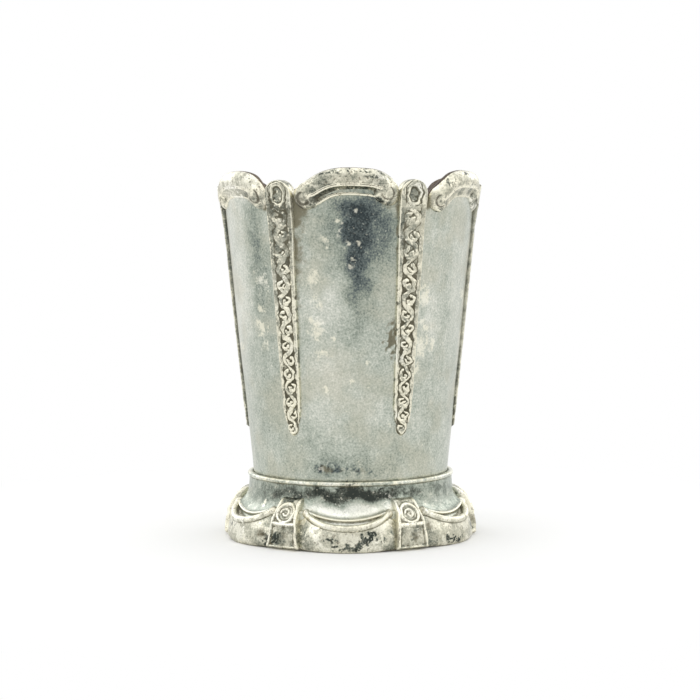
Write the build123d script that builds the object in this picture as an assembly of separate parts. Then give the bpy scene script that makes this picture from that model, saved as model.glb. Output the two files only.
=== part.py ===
from build123d import *

import os
from math import asin, cos, degrees, radians, sin

# Toothpick holder: a spun, tapered cup with a lobed rim, cast mounts soldered on, and a flared lobed foot.
# Millimetres, +Z up. The origin is the middle of the face that the foot stands on.
# The pieces are made with the first lobe towards +X and turned at the end, so that it faces the viewer at -Y.
# They are numbered anticlockwise from there, as seen from above.

# Pattern round the axis, and the film of solder between two pieces
lobe_count = 6
front_azimuth = -90.0
solder_gap = 0.05

# Cup, spun from sheet
overall_height = 57.0
cup_base_radius = 15.15
cup_rim_radius = 19.95
cup_wall = 0.9
cup_floor = 1.1

# Rim roll on each lobe, and the fine ridge under it
roll_radius = 1.6
lobe_drop = 2.0
ridge_radius = 0.32
ridge_quirk = 0.4
roll_facets = 12
ridge_facets = 4

# Ornament strap between two lobes: a raised border round a sunk field, and an oval at the head
strap_top_width = 4.6
strap_toe_width = 2.9
strap_crest = 1.9
strap_toe_rise = 6.5
strap_border = 0.65
strap_sunk = 0.25
strap_toe_relief = 0.4
strap_neck_relief = 0.6
strap_head_relief = 1.0
oval_stretch = 0.6
oval_rim = 0.45
oval_margin = 0.35

# Foot, from the ground up: side, sloping ledge, bead, hollow curve and a collar with a lip round the cup
ledge_height = 3.4
ledge_rise = 0.9
ledge_step = 0.4
foot_bead_radius = 0.3
hollow_rise = 3.9
hollow_flare = 1.8
hollow_facets = 3
collar_band = 0.9
collar_wall = 0.62
lip_height = 0.7
lip_reach = 0.2
socket_depth = 2.8
seat_width = 1.8
seat_thickness = 1.0
foot_wall = 1.2

# Bracket on the foot, under each strap: two side ridges, a cross bar and an oval ring
bracket_stand = 2.1
bracket_root = 0.2
bracket_drop = 1.2
bracket_toe = 0.6
bracket_top_width = 3.6
bracket_toe_width = 5.5
bracket_ridge = 0.6
bracket_sunk = 0.3
bracket_bar_height = 4.2
bracket_bar = 0.6
ring_above_bar = 1.4
ring_width = 2.7
ring_depth = 2.1
ring_wall = 0.5
ring_relief = 0.25
mould_facets = 3
oval_facets = 8

# Petal on the foot, under each lobe: a bulging face with a dipped, beaded top edge and two knobs
petal_plan_radius = 12.25
petal_setback = 0.15
petal_drop = 0.9
petal_lift = 0.4
petal_dip = 1.6
petal_bead_radius = 0.4
petal_bead_inset = 0.25
petal_knob_radius = 0.72
petal_knob_clear = 0.25
bead_facets = 6

# Heights worked out from the driving dimensions, from the ground up
pitch = 360 / lobe_count
bead_bottom = ledge_height + ledge_rise
hollow_foot_height = bead_bottom + 2 * foot_bead_radius
collar_bottom = hollow_foot_height + hollow_rise
collar_height = collar_bottom + collar_band + lip_height
seat_height = collar_height - socket_depth
rim_height = overall_height - roll_radius
valley_height = rim_height - lobe_drop
strap_toe_height = collar_height + strap_toe_rise
strap_top_height = valley_height + strap_crest
strap_head_height = strap_top_height - strap_top_width / 2
bracket_rise = collar_bottom - bracket_drop - bracket_toe
petal_rise = bracket_rise - petal_drop
petal_height = ledge_height + petal_lift
over_top = overall_height + roll_radius

# Radii worked out from the driving dimensions, from the cup outwards
cup_slope = (cup_rim_radius - cup_base_radius) / (rim_height - seat_height)
collar_bore = cup_base_radius + socket_depth * cup_slope + solder_gap
collar_radius = collar_bore + collar_wall
hollow_foot_radius = collar_radius + hollow_flare
ledge_radius = hollow_foot_radius + ledge_step
foot_radius = ledge_radius + bracket_stand
mould_radius = collar_radius - bracket_root
bracket_reach = foot_radius - mould_radius
petal_reach = bracket_reach - petal_setback
petal_axis_radius = foot_radius - petal_setback - petal_plan_radius
far_out = foot_radius + cup_rim_radius


def cup_radius(z):
    """Outside radius of the cup at height z."""
    return cup_base_radius + (z - seat_height) * cup_slope


def roll_centre(azimuth, z):
    """Point in the middle of the cup's wall, where the middle of the rim roll runs."""
    radius = cup_radius(z) - cup_wall / 2
    return Vector(radius * cos(radians(azimuth)), radius * sin(radians(azimuth)), z)


# Half the angle that the middle of a roll spans: its round end stops against the strap beside it
roll_to_strap = strap_top_width / 2 + solder_gap + roll_radius
roll_half_angle = pitch / 2 - degrees(asin(roll_to_strap / (cup_radius(valley_height) - cup_wall / 2)))
roll_end = roll_centre(roll_half_angle, valley_height)


def turned(shape, azimuth):
    """The shape turned anticlockwise about the axis."""
    return Rot(0, 0, azimuth) * shape


def turned_section(edges):
    """Solid turned about Z from edges drawn as radius and height."""
    return revolve(Plane.XZ * make_face(edges), axis=Axis.Z)


def cone_on_cup(standoffs):
    """Filled solid of revolution that stands off the cup's outside, from pairs of height and standoff."""
    points = [(cup_radius(z) + standoff, z) for z, standoff in standoffs]
    low, high = standoffs[0][0], standoffs[-1][0]
    return turned_section(Polyline((0, low), *points, (0, high), close=True).edges())


def outward(sketch):
    """Prism of a sketch drawn as seen from outside, pushed outwards from the axis along +X."""
    return extrude(Plane((0, 0, 0), x_dir=(0, 1, 0), z_dir=(1, 0, 0)) * sketch, amount=far_out)


def across(sketch, half_width):
    """Prism of a sketch drawn as radius and height, half_width thick on both sides of the XZ plane."""
    return extrude(Plane.XZ * sketch, amount=half_width, both=True)


def bar(path, radius, facets):
    """Bar along a path, with a round section drawn as a regular polygon."""
    return sweep(Plane(path @ 0, z_dir=path % 0) * RegularPolygon(radius, facets), path)


def round_end(centre, direction, radius, facets):
    """Faceted half ball that closes the end of a bar and points along a direction."""
    base = Plane(centre, z_dir=direction)
    sections = []
    for rise in (0, 50):
        ring = RegularPolygon(radius * cos(radians(rise)), facets)
        sections.append(base.offset(radius * sin(radians(rise))) * ring)
    return loft(sections, ruled=True)


def trapezoid(low, high, half_low, half_high):
    """Upright trapezoid, symmetrical about the middle, as seen from outside."""
    corners = [(-half_low, low), (half_low, low), (half_high, high), (-half_high, high)]
    return make_face(Polyline(*corners, close=True).edges())


def crown(grow):
    """Everything below the scalloped top edge of the cup, raised and widened by a clearance."""
    top = valley_height + grow
    end = roll_end.Y + grow
    low = valley_height - roll_radius
    below = Pos(0, 0, top) * Cylinder(far_out, top, align=(Align.CENTER, Align.CENTER, Align.MAX))
    arch = ThreePointArc((-end, valley_height), (0, rim_height + grow), (end, valley_height))
    sides = Polyline((end, valley_height), (end, low), (-end, low), (-end, valley_height))
    lobe = outward(make_face([arch, *sides.edges()]))
    for i in range(lobe_count):
        below += turned(lobe, i * pitch)
    return below


def cup_core():
    """Room for the cup as if it were filled, with the solder round it."""
    room = cone_on_cup([(seat_height - solder_gap, solder_gap), (over_top, solder_gap)])
    return room & crown(solder_gap)


def cup_hollow():
    """The inside of the cup, carried on past the rim."""
    return cone_on_cup([(seat_height + cup_floor, -cup_wall), (over_top, -cup_wall)])


def make_cup():
    """Spun shell with a flat floor and a scalloped top edge."""
    outside = cone_on_cup([(seat_height, 0), (over_top, 0)])
    return (outside - cup_hollow()) & crown(0)


def make_rim_roll(room, hollow):
    """Plump roll that caps a lobe's edge, with round ends and the fine ridge under it."""
    left = roll_centre(-roll_half_angle, valley_height)
    right = roll_end
    arch = ThreePointArc(left, roll_centre(0, rim_height), right)
    roll = bar(arch, roll_radius, roll_facets)
    roll += round_end(left, -(arch % 0), roll_radius, roll_facets)
    roll += round_end(right, arch % 1, roll_radius, roll_facets)
    ridge_height = rim_height - roll_radius - ridge_quirk - ridge_radius
    ridge_drop = Vector(0, 0, -roll_radius / 2)
    ridge_crest = Vector(cup_radius(ridge_height), 0, ridge_height)
    ridge = ThreePointArc(left + ridge_drop, ridge_crest, right + ridge_drop)
    roll += bar(ridge, ridge_radius, ridge_facets)
    return roll - room - hollow


def oval_ring(width, height, wall):
    """Flat oval ring, drawn as a stretched polygon."""
    outer = scale(RegularPolygon(1, oval_facets), by=(width / 2, height / 2, 1))
    return outer - scale(RegularPolygon(1, oval_facets), by=(width / 2 - wall, height / 2 - wall, 1))


def strap_outline(inset):
    """A strap as seen from outside: straight tapering sides, round head and round toe."""
    head = strap_top_width / 2 - inset
    toe = strap_toe_width / 2 - inset
    head_z = strap_head_height
    toe_z = strap_toe_height + strap_toe_width / 2
    over = ThreePointArc((-head, head_z), (0, head_z + head), (head, head_z))
    under = ThreePointArc((toe, toe_z), (0, toe_z - toe), (-toe, toe_z))
    return make_face([over, Line(over @ 1, under @ 0), under, Line(under @ 1, over @ 0)])


def strap_relief(sunk):
    """Room behind a strap's flat face, from its toe to the thicker head, less a sunk depth."""
    standoffs = [
        (strap_toe_height - strap_toe_width, strap_toe_relief),
        (strap_head_height - strap_top_width, strap_neck_relief),
        (strap_top_height, strap_head_relief),
    ]
    face = [(cup_radius(z) + standoff - sunk, z) for z, standoff in standoffs]
    section = Polyline((0, standoffs[0][0]), *face, (0, strap_top_height), close=True)
    return across(make_face(section.edges()), strap_top_width)


def make_strap(room, hollow):
    """Ornament strap on the cup's wall, its head capping the low point of the wall's edge."""
    relief = strap_relief(0)
    field = outward(strap_outline(strap_border)) - strap_relief(strap_sunk)
    strap = (outward(strap_outline(0)) & relief) - field
    oval_width = strap_top_width - 2 * (strap_border + oval_margin)
    oval = oval_ring(oval_width, oval_width + oval_stretch, oval_rim)
    strap += outward(Pos(0, strap_head_height) * oval) & relief
    return turned(strap, pitch / 2) - room - hollow


def foot_outside():
    """Points of the foot's outside, from the lip down to the ground, as radius and height."""
    lip_low = collar_height - lip_height
    hollow_foot = (hollow_foot_radius, hollow_foot_height)
    hollow = TangentArc((collar_radius, collar_bottom), hollow_foot, tangent=(0, -1))
    return [
        (collar_radius, collar_height),
        (collar_radius + lip_reach, collar_height - lip_height / 2),
        (collar_radius, lip_low),
        *[hollow @ (i / hollow_facets) for i in range(hollow_facets + 1)],
        (hollow_foot_radius + foot_bead_radius, hollow_foot_height - foot_bead_radius),
        (hollow_foot_radius, bead_bottom),
        (ledge_radius, ledge_height),
        (ledge_radius, 0),
    ]


def foot_core():
    """Room for the foot as if it were filled, with the solder round it."""
    middle = [(solder_gap, 0), (solder_gap, collar_height)]
    section = make_face(Polyline(*middle, *foot_outside(), close=True).edges())
    return revolve(Plane.XZ * offset(section, solder_gap, kind=Kind.INTERSECTION), axis=Axis.Z)


def make_foot():
    """Hollow cast foot with a ledge inside for the cup to stand on and a collar round the cup."""
    inner = ledge_radius - foot_wall
    throat = cup_base_radius - seat_width
    under_seat = seat_height - solder_gap - seat_thickness
    on_seat = seat_height - solder_gap
    inside = [
        (inner, 0),
        (inner, ledge_height - foot_wall),
        (collar_radius - foot_wall, under_seat),
        (throat, under_seat),
        (throat, on_seat),
        (cup_radius(on_seat) + solder_gap, on_seat),
        (collar_bore, collar_height),
    ]
    return turned_section(Polyline(*foot_outside(), *inside, close=True).edges())


def mould(reach, rise, inset):
    """Filled quarter-oval section of the mouldings on the foot, drawn in by an inset."""
    top = bracket_toe + rise - inset
    out = mould_radius + reach - inset
    curve = EllipticalCenterArc(
        (mould_radius, bracket_toe), reach - inset, rise - inset, start_angle=0, arc_size=90
    )
    bends = [curve @ (i / mould_facets) for i in range(mould_facets + 1)]
    frame = [(petal_axis_radius, top), (petal_axis_radius, 0), (out, 0)]
    return make_face(Polyline(*bends, *frame, close=True).edges())


def bracket_half_width(z):
    """Half the width of a bracket at height z."""
    share = z / (bracket_toe + bracket_rise)
    return (bracket_toe_width + share * (bracket_top_width - bracket_toe_width)) / 2


def bracket_panel(low, high, inset):
    """Part of a bracket's front view between two heights, drawn in from its sides."""
    return trapezoid(low, high, bracket_half_width(low) - inset, bracket_half_width(high) - inset)


def bracket_block(grow):
    """A bracket before it is cut, with a clearance round it."""
    block = across(mould(bracket_reach, bracket_rise, -grow), bracket_toe_width)
    return block & outward(bracket_panel(-grow, bracket_toe + bracket_rise + grow, -grow))


def make_bracket(foot_room):
    """Bracket with side ridges, a sunk field with an oval ring above a bar, and a sunk panel below it."""
    top = bracket_toe + bracket_rise
    bar_low = bracket_bar_height - bracket_bar / 2
    bar_high = bracket_bar_height + bracket_bar / 2
    sunk = outward(bracket_panel(bar_high, top, bracket_ridge))
    sunk += outward(bracket_panel(bracket_toe, bar_low, bracket_ridge))
    sunk -= across(mould(bracket_reach, bracket_rise, bracket_sunk), bracket_toe_width)
    bracket = bracket_block(0) - sunk
    ring_height = bracket_bar_height + ring_above_bar
    angle = asin((ring_height - bracket_toe) / bracket_rise)
    ring_at = Vector(mould_radius + bracket_reach * cos(angle), 0, ring_height)
    normal = Vector(cos(angle) / bracket_reach, 0, sin(angle) / bracket_rise).normalized()
    ring_plane = Plane(ring_at - normal * bracket_sunk, x_dir=(0, 1, 0), z_dir=normal)
    ring = ring_plane * oval_ring(ring_width, ring_depth, ring_wall)
    bracket += extrude(ring, amount=ring_relief, both=True)
    return turned(bracket - foot_room, pitch / 2)


def petal_bead_plan(z):
    """Radius of the middle of a petal's bead at height z, from the axis of the petal's plan curve."""
    angle = asin((z - bracket_toe) / petal_rise)
    return mould_radius + petal_reach * cos(angle) - petal_bead_inset - petal_axis_radius


def petal_knob():
    """Middle of the knob at one end of a petal's bead, where it clears the bracket beside it."""
    z = petal_height + petal_dip
    plan = petal_bead_plan(z)
    to_bracket = bracket_half_width(z) + petal_knob_clear + petal_knob_radius
    side = Vector(-sin(radians(pitch / 2)), cos(radians(pitch / 2)), 0)
    shift = (-to_bracket - petal_axis_radius * side.X) / plan
    angle = asin(shift) + radians(pitch / 2)
    return Vector(petal_axis_radius + plan * cos(angle), plan * sin(angle), z)


def make_petal(foot_room):
    """Bulging petal between two brackets, with a bead along its dipped top edge and a knob at each end."""
    plan_axis = Axis((petal_axis_radius, 0, 0), (0, 0, 1))
    petal = revolve(Plane.XZ * mould(petal_reach, petal_rise, 0), axis=plan_axis)
    right = petal_knob()
    left = Vector(right.X, -right.Y, right.Z)
    middle = Vector(petal_axis_radius + petal_bead_plan(petal_height), 0, petal_height)
    dip_radius = (right.Y**2 + petal_dip**2) / (2 * petal_dip)
    petal -= outward(Pos(0, petal_height + dip_radius) * Circle(dip_radius))
    bead = ThreePointArc(left, middle, right)
    petal += bar(bead, petal_bead_radius, bead_facets)
    for share in (0, 1):
        for direction in (bead % share, -(bead % share)):
            petal += round_end(bead @ share, direction, petal_knob_radius, bead_facets)
    for side in (-pitch / 2, pitch / 2):
        petal -= turned(bracket_block(solder_gap), side)
    petal -= foot_room
    return petal.solids().sort_by(Axis.X)[-1]


room = cup_core()
hollow = cup_hollow()
foot_room = foot_core()
roll = make_rim_roll(room, hollow)
strap = make_strap(room, hollow)
petal = make_petal(foot_room)
bracket = make_bracket(foot_room)

parts = {"cup": make_cup(), "foot": make_foot()}
for i in range(lobe_count):
    parts[f"rim_roll_{i + 1}"] = turned(roll, i * pitch)
    parts[f"strap_{i + 1}"] = turned(strap, i * pitch)
    parts[f"foot_petal_{i + 1}"] = turned(petal, i * pitch)
    parts[f"foot_bracket_{i + 1}"] = turned(bracket, i * pitch)

os.makedirs("parts", exist_ok=True)
for name, shape in parts.items():
    export_step(turned(shape, front_azimuth), f"parts/{name}.step")
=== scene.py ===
from math import cos, degrees, pi, radians, sin

import bpy
import numpy as np
from mathutils import Matrix, Vector, noise


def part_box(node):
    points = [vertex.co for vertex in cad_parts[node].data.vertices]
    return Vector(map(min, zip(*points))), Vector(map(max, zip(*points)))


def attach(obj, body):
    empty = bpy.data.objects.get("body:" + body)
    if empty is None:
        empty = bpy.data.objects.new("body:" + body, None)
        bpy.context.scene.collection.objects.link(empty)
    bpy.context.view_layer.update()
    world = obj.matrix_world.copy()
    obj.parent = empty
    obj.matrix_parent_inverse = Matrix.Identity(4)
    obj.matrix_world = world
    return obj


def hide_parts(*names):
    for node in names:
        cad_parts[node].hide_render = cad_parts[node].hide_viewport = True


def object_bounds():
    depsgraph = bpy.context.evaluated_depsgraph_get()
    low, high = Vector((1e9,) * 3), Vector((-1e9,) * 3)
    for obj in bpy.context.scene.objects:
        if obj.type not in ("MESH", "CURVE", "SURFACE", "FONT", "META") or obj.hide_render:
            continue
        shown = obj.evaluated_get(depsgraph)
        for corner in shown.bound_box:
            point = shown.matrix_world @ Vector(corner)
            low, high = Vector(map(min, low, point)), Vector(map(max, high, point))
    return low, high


# Toothpick holder in tarnished silver plate. Shapes are worked out in millimetres and written in metres.
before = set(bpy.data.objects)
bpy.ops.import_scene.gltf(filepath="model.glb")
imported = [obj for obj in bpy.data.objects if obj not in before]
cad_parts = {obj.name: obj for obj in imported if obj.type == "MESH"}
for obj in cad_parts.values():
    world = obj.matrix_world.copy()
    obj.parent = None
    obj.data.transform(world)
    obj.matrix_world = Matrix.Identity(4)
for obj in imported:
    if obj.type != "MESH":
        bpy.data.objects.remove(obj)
cad_low, cad_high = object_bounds()
MM = 0.001


def box_mm(node):
    """Lowest and highest corner of a CAD node, in millimetres."""
    low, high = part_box(node)
    return low / MM, high / MM


# Pattern round the axis: lobe 1 faces the viewer, strap 1 and bracket 1 are half a pitch to its right
LOBES = 6
PITCH = 360 / LOBES
FRONT = -90

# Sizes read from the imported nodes; strap 2 and bracket 2 look along +X, petal 1 and roll 1 along -Y
cup_box = box_mm("cup")
foot_box = box_mm("foot")
strap_box = box_mm("strap_2")
bracket_box = box_mm("foot_bracket_2")
petal_box = box_mm("foot_petal_1")
roll_box = box_mm("rim_roll_1")
seat_height, rim_height = cup_box[0].z, cup_box[1].z
rim_radius = cup_box[1].y
collar_height, ledge_radius = foot_box[1].z, foot_box[1].x
strap_toe_z, strap_top_z = strap_box[0].z, strap_box[1].z
strap_head_half = strap_box[1].y
bracket_reach, bracket_toe_half = bracket_box[1].x, bracket_box[1].y
petal_reach = -petal_box[0].y
roll_margin = 0.03
roll_radius = roll_box[1].z - rim_height - roll_margin
roll_half = roll_box[1].x

# Gap that the solder fills between the pieces
solder_gap = 0.05

# Cup and rim
base_radius = 15.15
cup_wall = 0.9
cup_floor = 1.1
lobe_drop = 2
lobe_half_angle = 18
edge_drop = 0.5
valley_height = rim_height - lobe_drop
lip_drop = 0.95
cove_depth = 0.42
ridge_drop = 2.35
ridge_radius = 0.18
# How full the left and right shoulder of each roll is, and how far its two ends are bent up
shoulders = (
    (2, 3.4, -0.3, 0.55), (1.7, 4, 0, 0.5), (2.2, 3.6, 0, 0.25),
    (2.4, 2.2, 0, 0), (1.8, 2.4, -0.2, 0), (2.6, 3.4, 0.2, 0.3),
)
# How much of its cove each roll has left, and the roll whose left end is bent down and aside
cove_left = (1, 0.55, 0.7, 0.8, 0.7, 0.65)
bent_roll = 1
curl_inset = 1.35
curl_radius = 0.72
bend_drop = 0.6
bend_turn = 1.2
# Lump of solder beside strap 1: azimuth from the front and height, half width and half height, thickness
solder_place = (22, 31.4)
solder_half = (1.15, 2.9)
solder_lump = 0.65
cup_tone = 0.64
cup_slope = (rim_radius - base_radius) / (rim_height - seat_height)
# The stains and painted reflections were placed in a view that was turned by this much
paint_turn = 1.1

# Straps
strap_toe_half = 1.45
strap_crests = ((17.2, 0.42), (48.4, 0.62), (55.3, 0.98))
rail_width = 0.5
rail_growth = 0.01
field_depth = 0.34
scroll_start = 2.2
scroll_pitches = (1.95, 2.6)
stem_half = 0.33
curl_middle = 0.4
curl_half = 0.27
toe_lobes = 1.7
# How far each strap's carving is worn flat, and how dark its upper half is
strap_age = (0, 0.28, 0, 0, 0.28, 0)
strap_tarnish = (0.35, 0.6, 0.8, 0.7, 0.6, 1)
toe_share = 0.55
toe_taper = 4.2
oval_rise = 1.75
oval_inset = 0.35
oval_half_width = 1.05
oval_line = 0.32
oval_z = strap_top_z - oval_rise - oval_inset
strap_shake = 0.3
strap_head_z = strap_top_z - strap_head_half
strap_foot_z = strap_toe_z + strap_toe_half

# Foot
hollow_top = 8.8
hollow_foot = 4.9
ledge_height = 3.4
collar_radius = 16.1
hollow_foot_radius = 17.9
foot_wall = 1.2
collar_drop = 0.3
collar_top = collar_height - collar_drop
seat_width = 1.8
seat_thickness = 1
foot_smile = 1

# Petals
petal_plan_radius = 12.25
petal_axis = petal_reach - petal_plan_radius
petal_edge_z = 3.5
petal_dip = 1.8
petal_rise = 6.1
petal_toe = 0.6
petal_lift = 0.22
petal_depth = 4.35
bead_radius = 0.5
knob_radius = 0.76
knob_angle = 35.3
knob_plan = 10.33
petal_end = 39.4

# Brackets
bracket_rise = 0.25
bracket_top = bracket_box[1].z + bracket_rise
bracket_top_half = 1.75
bracket_depth = 4.5
bracket_ridge = 0.27
bracket_field = 0.36
bracket_toe_z = 0.35
bar_height = 4
ring_height = 5.6
ring_half_width = 1.46
ring_half_height = 1.3
ring_line = 0.3
bracket_back = 0.3
# Radius of a bracket's back at the floor, the ledge and the foot and top of the hollow curve
bracket_back_radii = (17.6, 17.6, 17, 15.6)

# Rows and columns of the meshes
cup_columns, wall_count, inner_count, floor_count = 660, 150, 40, 14
bulge_count, cove_count, ridge_count, back_count, inward_count = 30, 12, 10, 3, 8
cap_count, arch_count = 14, 90
toe_count, strap_count, head_count, strap_columns, back_step = 10, 380, 26, 57, 14
lip_count, collar_count, hollow_count, edge_count, ledge_count, side_count = 12, 6, 24, 9, 6, 4
foot_columns, petal_count, face_count, bead_count = 480, 141, 34, 20
bracket_count, toe_rows_count, bracket_columns = 90, 8, 49


def lobe_azimuth(i):
    """Azimuth of a lobe, with its roll and petal."""
    return FRONT + i * PITCH


def strap_azimuth(i):
    """Azimuth of a strap and of the bracket below it."""
    return FRONT + (i + 0.5) * PITCH


def cup_radius(z):
    """Outside radius of the cup at height z."""
    return base_radius + (z - seat_height) * cup_slope


def on_round(azimuth, radius, z):
    """Points at an azimuth in degrees, a radius and a height."""
    angle = np.radians(azimuth)
    return np.stack(np.broadcast_arrays(radius * np.cos(angle), radius * np.sin(angle), z), axis=-1)


def turned(points, azimuth):
    """Points turned anticlockwise about the axis."""
    c, s = np.cos(np.radians(azimuth)), np.sin(np.radians(azimuth))
    x, y, z = np.moveaxis(points, -1, 0)
    return np.stack((c * x - s * y, s * x + c * y, z), axis=-1)


def radius_of(points):
    """Distance of points from the axis."""
    return np.hypot(points[..., 0], points[..., 1])


def wrapped(value, turn):
    """Value brought to within half a turn of 0."""
    return (value + turn / 2) % turn - turn / 2


def from_front(points):
    """Azimuth of points from the front in degrees, positive to the right."""
    azimuth = np.degrees(np.arctan2(points[..., 1], points[..., 0]))
    return wrapped(azimuth - FRONT - paint_turn, 360)


def smooth(low, high, value):
    """Smooth step from 0 at low to 1 at high."""
    share = np.clip((value - low) / (high - low), 0, 1)
    return share * share * (3 - 2 * share)


def ridge(distance, half_width):
    """Rounded ridge: 1 on its line and 0 from half its width on."""
    return 1 - np.clip(np.abs(distance) / half_width, 0, 1) ** 2


def uneven(points, size, amount, seed):
    """Noise of a given size, up to about the amount."""
    flat = points.reshape(-1, 3) / size + seed
    values = [noise.noise(Vector(p)) for p in flat]
    return amount * np.array(values).reshape(points.shape[:-1])


def dented(points, size, depth, seed):
    """Points pressed in here and there, by up to about a depth."""
    shift = 1 + np.minimum(uneven(points, size, depth, seed), 0) / radius_of(points)
    return points * np.stack((shift, shift, np.ones(shift.shape)), axis=-1)


# Stains and painted reflections on the whole object: azimuth from the front, height, half width, half
# height, change of tone. The tall light bands down the cup's panels and the bright bands low in the foot's
# hollow are painted reflections; the dark bands above those and the dark patch high on the front are
# painted reflection over tarnish.
STAINS_AND_REFLECTIONS = (
    (3, 49, 2.2, 3.2, -0.42), (5.5, 46, 2.4, 4.6, -0.37), (7.5, 51, 3.2, 2.2, -0.14),
    (-9, 48.5, 3.4, 4, -0.13), (-3, 51, 3, 2.4, -0.16), (3.5, 39.5, 1.3, 5.5, -0.26),
    (12.5, 46, 4.2, 6, -0.2), (18, 48, 2, 5, -0.14), (8, 34, 5, 4, -0.06), (0, 13, 7, 2.6, -0.2),
    (-15, 12.2, 1.2, 0.7, -0.25), (-12, 35, 3.2, 4, 0.16), (-11, 26, 3, 4, 0.14), (-47, 47, 2, 7, -0.24),
    (-44, 39, 3, 7, -0.12), (-66, 38, 3.4, 15, 0.22), (-50, 24, 6, 8, -0.09), (0, 20.5, 9, 4, 0.05),
    (50, 45, 6, 7, 0.04), (44, 34, 2, 6, 0.16), (66, 36, 3, 15, 0.1), (81, 38, 1.2, 17, 0.28),
    (-79, 40, 1.6, 16, 0.16), (-60, 54, 5, 2.6, 0.27), (60, 54, 5, 2.6, 0.08), (30, 2.4, 2.6, 2.6, 0.02),
    (72, 20, 3, 9, -0.04), (105, 46, 3, 7, -0.3), (128, 30, 4, 9, -0.16), (150, 40, 3, 6, 0.15),
    (176, 47, 3.5, 6, -0.4), (-160, 28, 5, 8, -0.15), (-128, 44, 2.6, 8, -0.34), (-105, 24, 5, 9, 0.14),
    (-2, 8.1, 8.5, 0.8, -0.48), (4, 8, 5, 0.6, -0.3), (0, 5.5, 6, 1.2, 0.95), (-42, 8, 4, 1.2, -0.3),
    (38, 8.6, 3, 0.8, -0.2), (62, 8, 4, 1.2, -0.14), (118, 8.2, 7, 1.1, -0.45), (120, 5.6, 5, 0.9, 0.3),
    (-120, 8.2, 7, 1.1, -0.42), (-120, 5.6, 5, 0.9, 0.3), (180, 8.2, 7, 1.1, -0.52),
    (180, 5.6, 5, 0.9, 0.3),
)

# Brown dirt beside the mounts, with painted shade in the corners under the roll ends and beside the
# brackets:
# azimuth from the front, height, half width, half height, amount
MOUNT_DIRT_AND_SHADE = (
    (-22.6, 50.5, 2.2, 2.6, 0.78), (-23, 44.5, 1.8, 4, 0.64), (-24.2, 37, 0.9, 5, 0.42),
    (-15, 52, 2, 0.9, 0.45), (24.6, 47, 0.7, 6, 0.75), (-34.5, 46, 0.8, 6, 0.45),
    (-44.5, 54.9, 0.8, 0.7, 0.75), (-39, 52.6, 0.8, 1.6, 0.45), (-20.5, 53, 0.8, 1.2, 0.4),
    (21, 53.2, 0.8, 1.4, 0.4), (38, 52.4, 0.8, 1.2, 0.4), (35, 51, 0.8, 2, 0.4), (-29.5, 50, 1.2, 1.3, 0.7),
    (-28, 46.5, 0.8, 2.2, 0.6), (-15, 12.4, 1.3, 0.8, 0.95), (-11.5, 11.7, 0.8, 0.6, 0.62),
    (-5, 12.1, 1.4, 0.9, 0.75), (3, 11.7, 1.3, 0.7, 0.7), (9, 12, 1, 1, 0.62), (16, 11.7, 1.2, 0.6, 0.52),
    (-44, 2.2, 1.2, 1, 0.9), (-30, 2.2, 1.6, 1.3, 0.24), (38.5, 3.2, 1, 1.2, 0.8), (30, 2, 1.2, 1, 0.35),
    (22, 2, 0.8, 1.6, 0.35), (-21, 2.4, 0.8, 1.6, 0.35), (84, 2.4, 1.2, 1.2, 0.8),
    (142, 2.4, 1.2, 1.2, 0.7), (-98, 2.2, 1.3, 1.1, 0.8), (-157, 2.4, 1.2, 1.2, 0.7),
    (86, 48, 0.9, 5, 0.55), (94.5, 49, 0.9, 4, 0.6), (145, 48, 0.9, 6, 0.5), (-95, 47, 0.9, 5, 0.55),
    (-146, 50, 0.9, 4, 0.6),
)

# Dark flecks where the plate has come off: azimuth from the front, height, half width, half height
FLECKS = (
    (0.5, 1.3, 3.2, 0.85), (7.5, 2, 2.4, 1.1), (-38, 1.8, 2, 0.9), (-66, 2.4, 1.2, 0.6),
    (52, 1.5, 2.4, 0.8), (74, 2.6, 1.8, 1), (0, 8.4, 6, 0.7), (112, 1.8, 3, 0.9), (170, 2.2, 2.6, 1),
    (-130, 1.6, 3, 0.8), (3, 57, 2.6, 0.4), (-6, 56.2, 1.4, 0.4), (11, 55.8, 1.8, 0.5),
    (-45, 54.8, 0.6, 0.5), (58, 56.4, 1.6, 0.4), (47, 54.8, 0.8, 0.5), (118, 56.4, 2, 0.5),
    (178, 56.6, 2.2, 0.5), (-124, 56.2, 2, 0.5),
)

# Small worn spots where bare bright metal shows: azimuth from the front, height, radius
SPOTS = (
    (-5.6, 49.4, 0.35), (-3.6, 47.6, 0.75), (-2.6, 48.9, 0.4), (3.4, 50.6, 0.5), (-0.2, 45.6, 0.4),
    (4.4, 45.7, 0.55), (2.6, 43.6, 0.4), (2.2, 42.4, 0.5), (-11.6, 46.6, 0.7), (-10.2, 45.8, 0.4),
    (-10.2, 44.4, 0.35), (-16.6, 41, 1.2), (-16.4, 36.8, 1.5), (-14.6, 33.4, 1.9), (-7.6, 36.4, 0.4),
    (-8, 31.6, 0.45), (-13.6, 29.6, 1.2), (-12.6, 24.6, 0.7), (10.6, 28, 0.35), (1, 25.6, 0.35),
    (40.6, 33.6, 1), (46, 31, 0.8), (-15.4, 12.4, 0.35), (39, 38, 1.9), (37.6, 34, 0.7), (38.4, 30.2, 1.8),
    (36.6, 27, 0.8), (-45.6, 40, 1.4), (-47, 36.5, 0.9), (-49, 33, 1.8), (-48, 30.6, 1), (75, 38, 1.2),
    (80, 32, 0.8), (100, 44, 0.7), (112, 30, 1.4), (118, 36, 0.9), (140, 36, 1.2), (165, 34, 1.4),
    (172, 44, 0.6), (178, 45.6, 0.5), (-174, 42, 0.5), (-165, 31, 1.3), (-140, 30, 1.2), (-120, 38, 1.3),
    (-112, 32, 0.9), (-100, 41, 0.8), (-75, 30, 1.2),
)


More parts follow.
